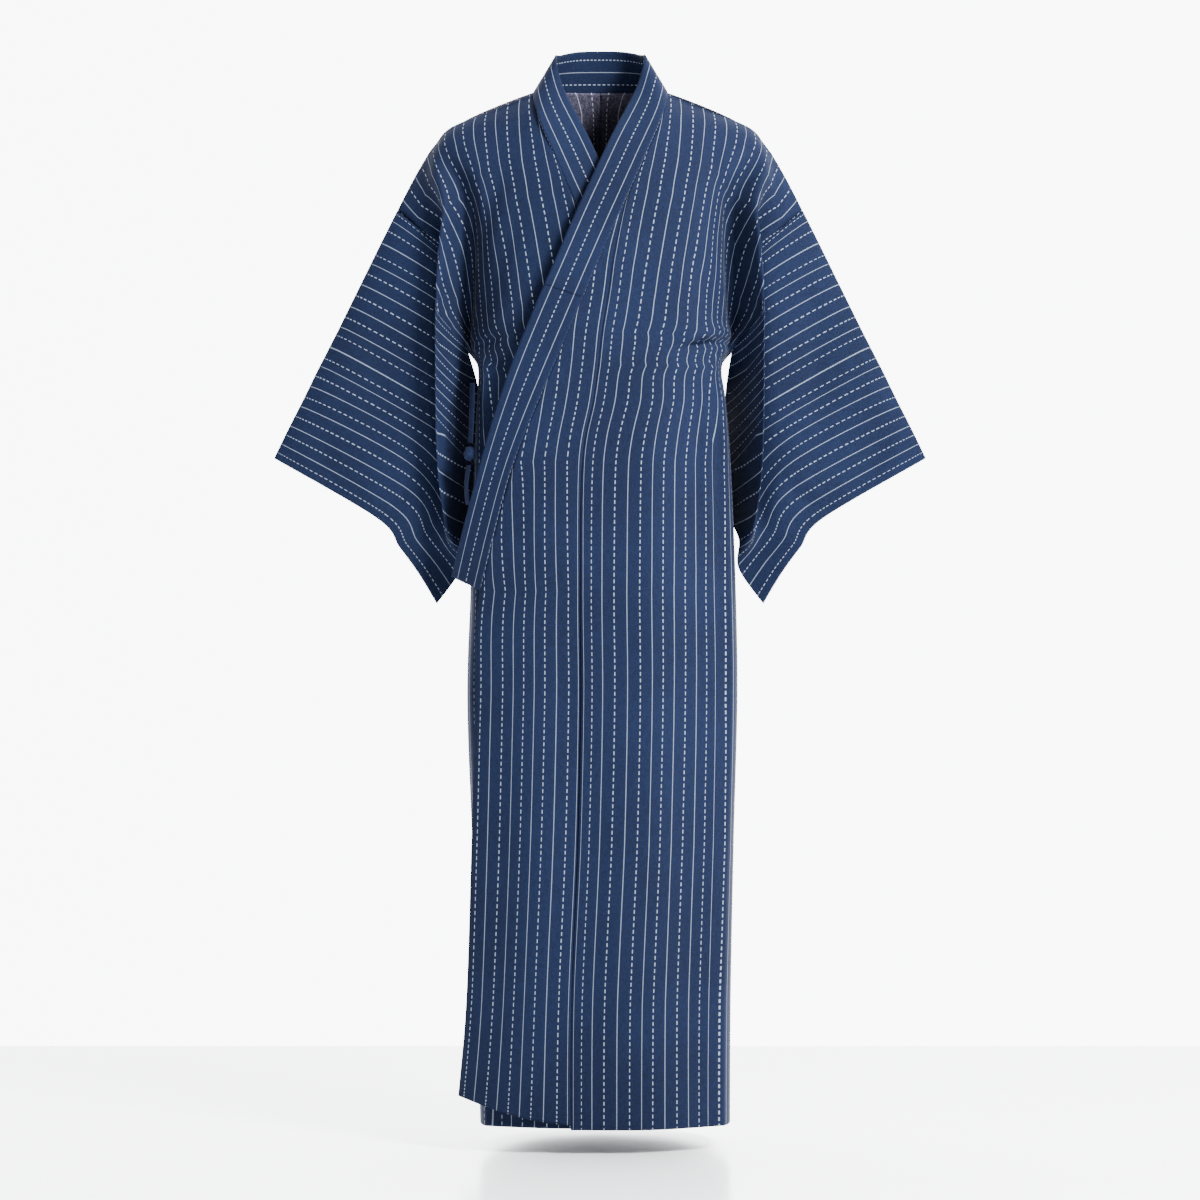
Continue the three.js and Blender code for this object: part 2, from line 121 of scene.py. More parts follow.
# Upper back: centre, neck side, blade, edge, armpit, ridge, armhole seam; cut at the blade
BACK_ROWS = [
    ((0, 64, 14), (66, 44, 12), (90, 0, 6), (181, 0, -31), (223, 0, -64), (250, 0, -106),
     (276, 0, -156), 88),
    ((0, 86, -16), (70, 62, -12), (118, 36, -22), (178, 30, -48), (216, 24, -82), (238, 17, -124),
     (252, 10, -178), 112),
    ((0, 110, -58), (66, 100, -60), (120, 84, -74), (168, 62, -104), (196, 44, -138),
     (217, 44, -168), (225, 36, -206), 119),
    ((0, 127, -110), (62, 120, -114), (118, 104, -130), (162, 74, -162), (184, 50, -190),
     (214, 66, -210), (214, 60, -234), 120),
    ((0, 143, -215), (60, 138, -218), (114, 120, -228), (160, 80, -250), (178, 48, -268),
     (207, 74, -280), (206, 66, -286), 118),
    ((0, 147, -268), (60, 143, -270), (114, 124, -278), (162, 78, -298), (177, 42, -308),
     (192, 54, -315), (196, 50, -320), 118),
    ((0, 149, -330), (60, 145, -331), (114, 126, -334), (167, 74, -340), (176, 40, -343),
     (179, 30, -344), (180, 22, -345), 118),
]
# Sleeve front: distance from the armhole seam; top fold, turn, valley, ridge, bottom seam
SLEEVE_FRONT = [
    (0, (276, 0, -156), (219, -17, -204), (202, 3, -230), (221, -49, -284), (180, 9, -346)),
    (60, (304, 0, -212), (226, -19, -256), (203, 3, -284), (221, -50, -330), (172, 46, -412)),
    (190, (361, 0, -329), (238, -16, -396), (208, -4, -420), (220, -46, -444), (173, 47, -522)),
    (235, (383, 0, -373), (250, -14, -444), (209, -4, -480), (217, -42, -522), (178, 34, -570)),
    (270, (400, 0, -408), (262, -12, -478), (206, 2, -545), (209, -36, -585), (189, -8, -603)),
    (320, (422, 0, -452), (263, -11, -538), (228, -4, -590), (208, 1, -618), (189, 5, -641)),
    (375, (442, 0, -492), (303, -8, -573), (272, -6, -613), (246, -4, -649), (222, -2, -689)),
]
SLEEVE_BACK = [
    ((225, 36, -206), (206, 66, -286), (180, 22, -346)),
    ((248, 36, -262), (212, 80, -345), (172, 50, -412)),
    ((288, 32, -392), (222, 76, -460), (173, 51, -522)),
    ((302, 30, -440), (226, 62, -508), (178, 38, -570)),
    ((316, 28, -478), (232, 36, -560), (189, -4, -603)),
    ((340, 27, -508), (250, 31, -574), (189, 9, -641)),
    ((360, 25, -536), (281, 26, -592), (222, 2, -689)),
]
SLEEVE_DEEP = 300.0  # half the cloth round a sleeve
# Collar: seam edge and free edge, round the neck and then down the chest as (x, z)
COLLAR_NECK = [((0, 65, 13), (0, 53, 70)), ((46, 57, 12), (30, 46, 68)), ((80, 28, 8), (53, 24, 60)),
               ((90, -2, 5), (60, -4, 52))]
COLLAR_CHEST = [((84, -30), (49, 9)), ((62, -84), (18, -54)), ((40, -135), (-6, -107)),
                ((19, -182), (-30, -160)), ((-4, -235), (-54, -216)), ((-36, -311), (-88, -294)),
                ((-69, -388), (-121, -376)), ((-98, -456), (-147, -454)), ((-122, -521), (-167, -526)),
                ((-143, -600), (-186, -598)), ((-160, -671), (-199, -653))]
COVER_ROWS = 9  # rows of the outer collar that the cover collar takes in
COVER_PAST = 0.6  # and this share of the next
TIE_STRAP = [(-172, -48, -392), (-172, -56, -430), (-174, -62, -473)]
TIE_END = [(-176, -65, -503), (-179, -67, -530), (-177, -69, -556)]
TIE_KNOT = (-175, -64, -488)
TIE_WAY = (-0.6, 0.8)
TIE_WIDE = 10.0


class Side(Enum):
    """Side of the wearer; its value is the sign of x."""

    LEFT = 1
    RIGHT = -1


FOOT_IN = {Side.LEFT: 0.0, Side.RIGHT: 7.0}  # the right sleeve's foot hangs closer in
FOOT_SLANT = (43, 43, 30, 15, 0, 0, 0)  # how far the cloth slips along the arm at its foot

# ---- Shape helpers ----


def body_row(row: Sequence[float]) -> dict[str, float]:
    """Name the numbers of one row of BODY.

    Args:
        row: The row.

    Returns:
        The numbers by name.
    """
    return dict(zip(BODY_KEYS, row))


def look(table: Sequence[tuple[float, float]], at: float) -> float:
    """Read a two-column table at a place.

    Args:
        table: Rows of place and value, places rising.
        at: The place.

    Returns:
        The value there.
    """
    places, values = zip(*table)
    return float(np.interp(at, places, values))


def front_y(x: float, z: float) -> float:
    """Depth of the outer front at a place.

    Args:
        x: Sideways place.
        z: Height.

    Returns:
        The y of the cloth, negative forwards.
    """
    drop = max(0.0, look(SHOULDER, abs(x)) - z)
    curve = min(1.0, abs(x) / look(REACH, z)) ** 4
    return -look(CHEST, drop) * (1 - curve)


def flap_y(x: float, z: float) -> float:
    """Depth of the outer overlap and collar, which stand off the hip, flatter.

    Args:
        x: Sideways place.
        z: Height.

    Returns:
        The y of the cloth.
    """
    return front_y(x if x > FLAP_FROM else FLAP_FROM + (x - FLAP_FROM) * FLAP_SHARE, z)


def tuck(x: float) -> float:
    """Sideways place of an under piece, kept inside the outer front past the hip.

    Args:
        x: Place without the tuck.

    Returns:
        Place with it.
    """
    if abs(x) < TUCK_FROM:
        return x
    return math.copysign(TUCK_FROM + (abs(x) - TUCK_FROM) * TUCK_SHARE, x)


def spline(count: int, at: np.ndarray) -> np.ndarray:
    """Weights of a smooth curve's stations at places along it.

    Args:
        count: Number of stations.
        at: Places, counted in stations.

    Returns:
        One row of weights for each place.
    """
    span = np.clip(np.floor(at).astype(int), 0, count - 2)
    t = at - span
    parts = ((-t + 2 * t**2 - t**3) / 2, (2 - 5 * t**2 + 3 * t**3) / 2,
             (t + 4 * t**2 - 3 * t**3) / 2, (t**3 - t**2) / 2)
    weights = np.zeros((len(at), count))
    for k, part in enumerate(parts):
        np.add.at(weights, (np.arange(len(at)), np.clip(span + k - 1, 0, count - 1)), part)
    return weights


def straight(count: int, at: np.ndarray) -> np.ndarray:
    """Weights of straight steps between stations.

    Args:
        count: Number of stations.
        at: Places, counted in stations.

    Returns:
        One row of weights for each place.
    """
    return np.maximum(0, 1 - np.abs(at[:, None] - np.arange(count)[None, :]))


def steps(lengths: Sequence[float], spacing: float) -> np.ndarray:
    """Places along stations, close enough together for a spacing.

    Args:
        lengths: Length of each span.
        spacing: The longest step.

    Returns:
        The places, counted in stations.
    """
    out: list[float] = []
    for k, length in enumerate(lengths):
        parts = max(2, math.ceil(length / spacing))
        out.extend(k + np.arange(parts) / parts)
    out.append(float(len(lengths)))
    return np.array(out)


@dataclass(frozen=True)
class Crease:
    """A soft trough or ridge across the cloth, between two places seen from the front.

    Attributes:
        start: First end, x and z.
        end: Last end, x and z.
        width: Half width of the fold.
        depth: Height of the fold, below zero for a trough.
        bow: How far its middle swings aside.
        behind: Whether it is on the back.
    """

    start: tuple[float, float]
    end: tuple[float, float]
    width: float
    depth: float
    bow: float = 0.0
    behind: bool = False

    def lift(self, points: np.ndarray) -> np.ndarray:
        """Height of the fold at points.

        Args:
            points: Rows and columns of places.

        Returns:
            The height at each.
        """
        a = np.array(self.start)
        way = np.array(self.end) - a
        reach = float(np.linalg.norm(way))
        way = way / reach
        offset = points[..., (0, 2)] - a
        along = offset @ way / reach
        aside = offset @ np.array((-way[1], way[0])) - self.bow * np.sin(np.pi * np.clip(along, 0, 1))
        fade = np.clip(1 - np.abs(along - 0.5) * 2, 0, 1) ** 0.6
        near = np.exp(-((aside / self.width) ** 2))
        facing = (points[..., 1] > 20) if self.behind else (points[..., 1] < 20)
        return self.depth * near * fade * facing


@dataclass
class Sheet:
    """One sheet of cloth through sections of stations.

    Attributes:
        name: Its name.
        rows: Sections, each a list of places.
        cut: Place of each station across the flat cloth.
        along: Place of each station along it, or None to measure it.
        creases: Folds laid on it.
        spacing: Size of its mesh.
        thick: Its wall.
        outward: The sign that turns its faces out.
        push: How far it is moved out from the sections.
    """

    name: str
    rows: Sequence[Sequence[Sequence[float]]]
    cut: Sequence[Sequence[float]]
    along: Sequence[Sequence[float]] | None = None
    creases: Sequence[Crease] = ()
    spacing: float = FINE
    thick: float = CLOTH
    outward: int = 1
    push: float = 0.0

    def points(self) -> tuple[np.ndarray, np.ndarray, np.ndarray]:
        """Work out the finished grid.

        Returns:
            Places, place across the cloth and place along it, each by row and column.
        """
        table = np.array(self.rows, float)
        across_len = np.linalg.norm(np.diff(table, axis=1), axis=2).mean(axis=0)
        down_len = np.linalg.norm(np.diff(table, axis=0), axis=2).mean(axis=1)
        i, j = steps(list(across_len), self.spacing), steps(list(down_len), self.spacing)
        by_col, by_row = spline(table.shape[1], i), spline(table.shape[0], j)
        places = np.einsum("jr,rsk,is->jik", by_row, table, by_col)
        flat = (straight(table.shape[0], j), straight(table.shape[1], i))
        cut = flat[0] @ np.array(self.cut, float) @ flat[1].T
        if self.along is None:
            step = np.linalg.norm(np.diff(places, axis=0), axis=2).mean(axis=1)
            length = np.concatenate(([0.0], np.cumsum(step)))[:, None] + np.zeros_like(cut)
        else:
            length = flat[0] @ np.array(self.along, float) @ flat[1].T
        normal = self.normals(places)
        raised = sum((fold.lift(places) for fold in self.creases), np.zeros_like(cut))
        return places + normal * (raised + self.push)[..., None], cut, length

    def normals(self, places: np.ndarray) -> np.ndarray:
        """Outward directions of a grid.

        Args:
            places: The grid.

        Returns:
            A unit direction at each place.
        """
        normal = np.cross(np.gradient(places, axis=1), np.gradient(places, axis=0)) * self.outward
        return normal / np.maximum(1e-9, np.linalg.norm(normal, axis=2))[..., None]

    def build(self) -> bpy.types.Object:
        """Make the cloth from a grid moved to its worn place.

        Returns:
            The finished object.
        """
        places, cut, length = self.points()
        rows, cols = cut.shape
        bm = bmesh.new()
        bmesh.ops.create_grid(bm, x_segments=cols - 1, y_segments=rows - 1, size=1.0)
        uv = bm.loops.layers.uv.new("cut")
        spots = {}
        for vert in bm.verts:
            i = round((vert.co.x + 1) / 2 * (cols - 1))
            j = round((vert.co.y + 1) / 2 * (rows - 1))
            spots[vert] = (j, i)
        for face in bm.faces:
            for loop in face.loops:
                spot = spots[loop.vert]
                loop[uv].uv = (cut[spot] * MM, length[spot] * MM)
            face.smooth = True
        for vert, spot in spots.items():
            vert.co = places[spot] * MM
        probe = next(iter(bm.faces))
        probe.normal_update()
        at = spots[probe.verts[0]]
        if probe.normal.dot(self.normals(places)[at].tolist()) < 0:
            bmesh.ops.reverse_faces(bm, faces=bm.faces)
        mesh = bpy.data.meshes.new(self.name)
        bm.to_mesh(mesh)
        bm.free()
        piece = bpy.data.objects.new(self.name, mesh)
        bpy.context.scene.collection.objects.link(piece)
        wall = piece.modifiers.new("wall", "SOLIDIFY")
        wall.thickness = self.thick * MM
        wall.offset = 0.0
        wall.material_offset = 1
        return piece


def mirror(rows: Sequence[Sequence[Sequence[float]]]) -> list[list[tuple[float, ...]]]:
    """Turn sections into the wearer's other side.

    Args:
        rows: The sections.

    Returns:
        The mirrored ones.
    """
    return [[(-p[0], *p[1:]) for p in row] for row in rows]


def arcs(row: Sequence[Sequence[float]]) -> np.ndarray:
    """Distance of each station along a section's smooth curve.

    Args:
        row: The stations.

    Returns:
        The distances.
    """
    count, parts = len(row), 8
    at = np.linspace(0, count - 1, (count - 1) * parts + 1)
    fine = spline(count, at) @ np.array(row, float)
    run = np.concatenate(([0.0], np.cumsum(np.linalg.norm(np.diff(fine, axis=0), axis=1))))
    return run[::parts]


# ---- Shader maths ----


class Val:
    """A socket that takes part in sums."""

    def __init__(self, maker: "Shader", socket: bpy.types.NodeSocket) -> None:
        """Keep the socket and the tree's maker.

        Args:
            maker: The maker of the tree.
            socket: The output that it stands for.
        """
        self.maker = maker
        self.socket = socket

    def _do(self, operation: str, *values: "Val | float") -> "Val":
        """Add one Math node.

        Args:
            operation: Its operation.
            values: Its inputs.

        Returns:
            Its result.
        """
        return self.maker.node("ShaderNodeMath", {"operation": operation}, dict(enumerate(values)))

    def __add__(self, other: "Val | float") -> "Val":
        """Sum.

        Args:
            other: The other value.

        Returns:
            The result.
        """
        return self._do("ADD", self, other)

    def __radd__(self, other: float) -> "Val":
        """Sum.

        Args:
            other: The other value.

        Returns:
            The result.
        """
        return self._do("ADD", other, self)

    def __sub__(self, other: "Val | float") -> "Val":
        """Difference.

        Args:
            other: The other value.

        Returns:
            The result.
        """
        return self._do("SUBTRACT", self, other)

    def __rsub__(self, other: float) -> "Val":
        """Difference.

        Args:
            other: The other value.

        Returns:
            The result.
        """
        return self._do("SUBTRACT", other, self)

    def __mul__(self, other: "Val | float") -> "Val":
        """Product.

        Args:
            other: The other value.

        Returns:
            The result.
        """
        return self._do("MULTIPLY", self, other)

    def __rmul__(self, other: float) -> "Val":
        """Product.

        Args:
            other: The other value.

        Returns:
            The result.
        """
        return self._do("MULTIPLY", other, self)

    def __truediv__(self, other: "Val | float") -> "Val":
        """Quotient.

        Args:
            other: The other value.

        Returns:
            The result.
        """
        return self._do("DIVIDE", self, other)

    def swing(self, reach: float) -> "Val":
        """Go up and down between 0 and a reach.

        Args:
            reach: The highest value.

        Returns:
            The swinging value.
        """
        return self._do("PINGPONG", self, reach)

    def most(self, other: "Val | float") -> "Val":
        """Larger of two.

        Args:
            other: The other value.

        Returns:
            The result.
        """
        return self._do("MAXIMUM", self, other)

    def ramp(self, low: float, high: float) -> "Val":
        """Rise smoothly from 0 at low to 1 at high (low may be above high).

        Args:
            low: Where it is 0.
            high: Where it is 1.

        Returns:
            The rise.
        """
        return self.maker.node("ShaderNodeMapRange", {"interpolation_type": "SMOOTHSTEP"},
                               {0: self, 1: low, 2: high, 3: 0.0, 4: 1.0})


class Shader:
    """A node tree under construction, of a material or a world."""

    def __init__(self, owner: bpy.types.Material | bpy.types.World) -> None:
        """Clear the owner's tree.

        Args:
            owner: The material or world.
        """
        owner.use_nodes = True
        self.owner = owner
        self.tree = owner.node_tree
        self.tree.nodes.clear()

    @classmethod
    def material(cls, name: str) -> "Shader":
        """Start a new material.

        Args:
            name: Its name.

        Returns:
            Its maker.
        """
        return cls(bpy.data.materials.new(name))

    def close(self, surface: Val) -> bpy.types.Material | bpy.types.World:
        """Join a surface to the tree's output.

        Args:
            surface: The finished shader.

        Returns:
            The owner.
        """
        kind = "Material" if isinstance(self.owner, bpy.types.Material) else "World"
        out = self.tree.nodes.new(f"ShaderNodeOutput{kind}")
        self.tree.links.new(surface.socket, out.inputs[0])
        return self.owner

    def node(self, kind: str, settings: dict | None = None, inputs: dict | None = None,
             output: int | str = 0) -> Val:
        """Add any node.

        Args:
            kind: Its type.
            settings: Its properties.
            inputs: Values or links of its sockets.
            output: The socket wanted.

        Returns:
            That output.
        """
        made = self.tree.nodes.new(kind)
        for key, value in (settings or {}).items():
            setattr(made, key, value)
        for key, value in (inputs or {}).items():
            if isinstance(value, Val):
                self.tree.links.new(value.socket, made.inputs[key])
            else:
                made.inputs[key].default_value = value
        return Val(self, made.outputs[output])

    def mix(self, share: Val, low: "Val | tuple", high: "Val | tuple", blend: str = "MIX") -> Val:
        """Mix two colours.

        Args:
            share: Share of the second.
            low: First colour.
            high: Second colour.
            blend: The way of mixing.

        Returns:
            The mixed colour.
        """
        return self.node("ShaderNodeMix", {"data_type": "RGBA", "blend_type": blend},
                         {0: share, 6: low, 7: high}, 2)


@dataclass(frozen=True)
class ClothFinish:
    """Striped navy cotton crepe.

    Attributes:
        name: The material's name.
        base: Ground colour.
        shade: Colour of the crepe's hollows and of broad patches of painted shade that stand in for the
            shade of soft folds.
        line: Stripe colour.
        dash: Length of one dash and its gap, in millimetres.
        swap: Whether dashed and solid stripes change places.
        strength: How plainly the stripes show.
        striped: Whether it has stripes.
        grain: How plainly the crepe shows.
    """

    name: str
    base: tuple[float, float, float, float]
    shade: tuple[float, float, float, float]
    line: tuple[float, float, float, float]
    dash: float = 8.8
    swap: bool = False
    strength: float = 1.0
    striped: bool = True
    grain: float = 0.55

    def make(self) -> bpy.types.Material:
        """Build the material.

        Returns:
            The material.
        """
        sh = Shader.material(self.name)
        uv = sh.node("ShaderNodeUVMap", {"uv_map": "cut"})
        place = sh.node("ShaderNodeTexCoord", output="Object")
        parts = sh.node("ShaderNodeSeparateXYZ", inputs={0: uv})
        across = Val(sh, parts.socket.node.outputs[0]) * 1000.0
        along = Val(sh, parts.socket.node.outputs[1]) * 1000.0
        fine = sh.node("ShaderNodeTexNoise", inputs={"Vector": place, "Scale": 620.0, "Detail": 2.0})
        crepe = sh.node("ShaderNodeTexNoise", inputs={"Vector": place, "Scale": 400.0, "Detail": 3.0})
        # Painted shade: broad soft patches darken the cloth towards its shade colour and stand in for the
        # shade of soft folds.
        fold_shade_patches = sh.node("ShaderNodeTexNoise", inputs={"Vector": place, "Scale": 7.0, "Detail": 2.0})
        thread = sh.node("ShaderNodeTexNoise", {"noise_dimensions": "2D"},
                         {"Vector": sh.node("ShaderNodeMapping", inputs={0: uv, 3: (1400.0, 90.0, 1.0)}),
                          "Scale": 1.0, "Detail": 1.0})
        weave = crepe * 0.5 + fine * 0.2 + thread * 0.3
        # The ground goes towards the shade colour in the crepe's grain and in the broad patches of painted
        # fold shade.
        ground = sh.mix(weave.ramp(0.60, 0.38) * self.grain + fold_shade_patches.ramp(0.68, 0.32) * 0.26,
                        self.base, self.shade)
        colour = ground
        rough = weave * 0.12 + 0.78
        if self.striped:
            gap = (across - FIRST_STRIPE + 200 * STRIPE_PITCH).swing(STRIPE_PITCH)
            dashed, solid = STRIPE_PITCH - gap, gap
            if self.swap:
                dashed, solid = solid, dashed
            wobble = (fine - 0.5) * 0.5
            beat = (along + FAR).swing(self.dash / 2)
            stitch = (along + STITCH * 30).swing(STITCH)
            line = (solid + wobble).ramp(0.70, 0.22) * (0.55 + stitch.ramp(0.9, 0.3) * 0.28)
            dots = (dashed + wobble).ramp(0.80, 0.32) * beat.ramp(self.dash * 0.31, self.dash * 0.25)
            mark = line.most(dots) * (0.78 + fine * 0.4)
            colour = sh.mix(mark * self.strength, ground, self.line)
        bump = sh.node("ShaderNodeBump", inputs={"Strength": 0.35, "Distance": 0.0006, "Height": weave})
        shade = sh.node("ShaderNodeBsdfPrincipled",
                        inputs={"Base Color": colour, "Roughness": rough, "Normal": bump,
                                "Sheen Weight": 0.02, "Sheen Roughness": 0.4,
                                "Specular IOR Level": 0.1})
        return sh.close(shade)


NAVY = (0.0042, 0.0088, 0.0290, 1.0)
# Colour of the crepe's hollows. It is also the painted shade of soft folds, laid in broad soft patches.
NAVY_CREPE_AND_SHADE = (0.0013, 0.0029, 0.0110, 1.0)
CHALK = (0.165, 0.195, 0.250, 1.0)
WRONG = (0.085, 0.080, 0.118, 1.0)
# Colour of the wrong side's crepe hollows. It is also the painted shade of soft folds, laid in broad soft
# patches.
WRONG_CREPE_AND_SHADE = (0.022, 0.022, 0.040, 1.0)
WRONG_CHALK = (0.40, 0.40, 0.50, 1.0)


class Wardrobe:
    """The finishes, made once."""

    def __init__(self) -> None:
        """Make every material."""
        self.body = ClothFinish("body_cloth", NAVY, NAVY_CREPE_AND_SHADE, CHALK).make()
        self.sleeve = ClothFinish("sleeve_cloth", NAVY, NAVY_CREPE_AND_SHADE, CHALK, dash=6.0).make()
        self.band = ClothFinish("band_cloth", NAVY, NAVY_CREPE_AND_SHADE, CHALK, dash=7.0, grain=0.45).make()
        self.band_inner = ClothFinish("band_inside", NAVY, NAVY_CREPE_AND_SHADE, CHALK, dash=6.0, swap=True).make()
        self.wrong = ClothFinish("wrong_side", WRONG, WRONG_CREPE_AND_SHADE, WRONG_CHALK, strength=0.8,
                                 grain=0.9).make()
        self.tie = ClothFinish("tie_cloth", NAVY, NAVY_CREPE_AND_SHADE, CHALK, striped=False).make()

    def dress(self, piece: bpy.types.Object, face: bpy.types.Material,
              inside: bpy.types.Material | None = None) -> None:
        """Give a piece its face and inside.

        Args:
            piece: The piece.
            face: Material outside.
            inside: Material inside, or the same.
        """
        piece.data.materials.append(face)
        piece.data.materials.append(inside or face)


# ---- The robe ----


@dataclass
class BodyLength:
    """The front and the back of one side of the body, one length of cloth over the shoulder."""

    side: Side
    cloth: Wardrobe

    def front_rows(self) -> tuple[list, list]:
        """Sections of the front, on the wearer's left.

        Returns:
            The sections, and where their stations lie across the cloth.
        """
        key = "left" if self.side is Side.LEFT else "right"
        rows = [[(*row[k][:1], front_y(*row[k]), row[k][1]) for k in (0, 1)] + list(row[2:7])
                for row in FRONT_ROWS]
        edges = [(row[7], ARM_AT) for row in FRONT_ROWS]
        for numbers in BODY:
            row = body_row(numbers)
            rows.append(self.lower_front(row, row[key]))
            edges.append((SEAM_AT, row["cut"]))
        if self.side is Side.RIGHT:
            rows = [[(p[0], p[1] + LAYER * min(1, i / 3) * LAYER_SHARE[j], p[2])
                     for j, p in enumerate(row)] for i, row in enumerate(rows)]
        rows[0] = [(p[0], -FOLD_GAP, p[2]) for p in rows[0]]
        cuts = []
        for row, (first, last) in zip(rows, edges):
            run = arcs(row)
            slack = (last - first) - run[-1]
            cuts.append(first + run + slack * np.clip(run / run[-1] * 2 - 1, 0, 1) ** 2)
        return rows, cuts

    def lower_front(self, row: dict[str, float], half: float) -> list[tuple[float, float, float]]:
        """One section below the armhole, from the overlap seam to the side seam.

        Args:
            row: The height's sizes.
            half: Half width of the tube on this side.

        Returns:
            The stations.
        """
        z, seam, near = row["z"], row["seam"], half * 0.87
        middle = seam + (near - seam) * 0.55
        hem = HEM_FRONT if z == BODY[-1][0] else z
        y = front_y(near, z)
        return [(seam, front_y(seam, z), hem), (middle, front_y(middle, z), hem), (near, y, hem),
                (half * 0.965, y * 0.66 + SIDE_Y * 0.34, hem), (half, SIDE_Y, hem),
                (half, SIDE_Y + 14, hem), (half - 1.5, SIDE_Y + 30, hem)]

    def back_rows(self) -> tuple[list, list]:
        """Sections of the back, on the wearer's left.

        Returns:
            The sections, and where their stations lie across the cloth.
        """
        rows = [list(row[:7]) for row in BACK_ROWS]
        cuts = []
        for row in BACK_ROWS:
            run = arcs(row[:7])
            cuts.append(np.interp(run, (0, run[2], run[-1]), (0, row[7], ARM_AT)))
        rows[0] = rows[0][:2] + [(p[0], FOLD_GAP, p[2]) for p in rows[0][2:]]
        key = "left" if self.side is Side.LEFT else "right"
        for numbers in BODY:
            row = body_row(numbers)
            half, depth = row[key], row["back"]
            last = row["z"] == BODY[-1][0]
            section = []
            for k, degrees in enumerate((0, 26, 50, 66, 79, 88)):
                a = math.radians(degrees)
                y = SIDE_Y + 46 if k == 5 else SIDE_Y + (depth - SIDE_Y) * math.cos(a) ** 0.86
                z = HEM_FRONT + (HEM_BACK - HEM_FRONT) * math.cos(a) if last else row["z"]
                section.append((half * math.sin(a) ** 0.86, y, z))
            section.append((half - 1.5, SIDE_Y + 30.4, HEM_FRONT if last else row["z"]))
            rows.append(section)
            run = arcs(section)
            cuts.append(run + (row["cut"] - run[-1]) * (run / run[-1]) ** 2)
        return rows, cuts

    def build(self) -> list[bpy.types.Object]:
        """Make the front and the back.

        Returns:
            The two pieces.
        """
        made = []
        name = self.side.name.lower()
        for part, (rows, cut), outward in (("front", self.front_rows(), 1), ("back", self.back_rows(), -1)):
            placed = rows if self.side is Side.LEFT else mirror(rows)
            turn = -outward * self.side.value
            folds = [f for f in FOLDS[name] if f.behind == (part == "back")]
            sheet = Sheet(f"{part}_{name}_cloth", placed, cut, creases=folds, outward=turn)
            piece = sheet.build()
            self.cloth.dress(piece, self.cloth.body, self.cloth.wrong)
            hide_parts(f"{part}_{name}")
            wide, long, area = (0.288, 1.40, 0.37) if part == "front" else (0.338, 1.43, 0.44)
            min(area, wide * long)
            made.append(piece)
        return made


FOLDS = {
    "left": [
        Crease((96, -352), (180, -336), 5, -11, 4),
        Crease((100, -338), (180, -322), 8, 8, 4),
        Crease((126, -352), (130, -640), 5, -2.6, 3),
        Crease((142, -350), (147, -700), 5, 2.4, -2),
        Crease((152, -350), (158, -660), 4.5, -2.8, 2),
        Crease((164, -352), (170, -600), 4, 2.2),
        Crease((231, -70), (243, -160), 7, -3, 2),
        Crease((150, -70), (172, -200), 12, -3, 4),
        Crease((70, -420), (52, -900), 26, 2.6, 8),
        Crease((110, -700), (118, -1390), 24, -3, -8),
        Crease((20, -900), (12, -1390), 22, 2.5, 5),
        Crease((152, -640), (150, -1300), 14, 2.4, 5),
        Crease((110, -210), (160, -320), 14, -3, 6),
        Crease((40, -300), (70, -1380), 26, 6, 10, True),
        Crease((120, -330), (112, -1300), 22, -6, 12, True),
        Crease((150, -352), (60, -390), 14, -5, 6, True),
        Crease((165, -340), (120, -520), 10, -5, 8, True),
        Crease((90, -120), (168, -330), 16, -4, 10, True),
    ],
    "right": [
        Crease((-100, -150), (-150, -300), 14, -4, -6),
        Crease((-120, -90), (-160, -200), 12, -3, -4),
        Crease((-92, -280), (-160, -340), 9, -4, 4),
        Crease((-130, -330), (-166, -344), 6, -5),
        Crease((-233, -75), (-243, -150), 7, -2.5),
        Crease((-172, -600), (-170, -1100), 6, -2),
        Crease((-160, -560), (-162, -900), 6, 2),
        Crease((-52, -320), (-60, -1380), 24, -6, -10, True),
        Crease((-122, -340), (-118, -1380), 20, 6, 8, True),
        Crease((-150, -350), (-70, -372), 12, -5, -6, True),
        Crease((-166, -345), (-128, -500), 10, -5, 6, True),
        Crease((-92, -110), (-166, -320), 16, -4, -10, True),
    ],
    "sleeve": [
        Crease((330, -330), (404, -500), 24, 3, 6),
        Crease((270, -240), (300, -480), 22, -3, 8),
        Crease((296, -560), (250, -520), 10, -3.5, 4),
        Crease((286, -600), (236, -600), 14, 3, 3),
        Crease((390, -430), (350, -540), 16, -2.5, 5),
        Crease((330, -300), (390, -520), 26, 5, 8, True),
        Crease((262, -240), (290, -560), 16, -7, 8, True),
        Crease((300, -260), (250, -500), 14, 5, -6, True),
    ],
    "overlap": [
        Crease((-26, -500), (-30, -1380), 9, -2.2, 0),
        Crease((-80, -700), (-96, -1360), 24, 2.6, 6),
        Crease((-60, -560), (-50, -1000), 18, -2.2, 5),
        Crease((-130, -760), (-150, -1330), 16, -3, 6),
        Crease((-120, -560), (-92, -660), 12, -2, 4),
    ],
}


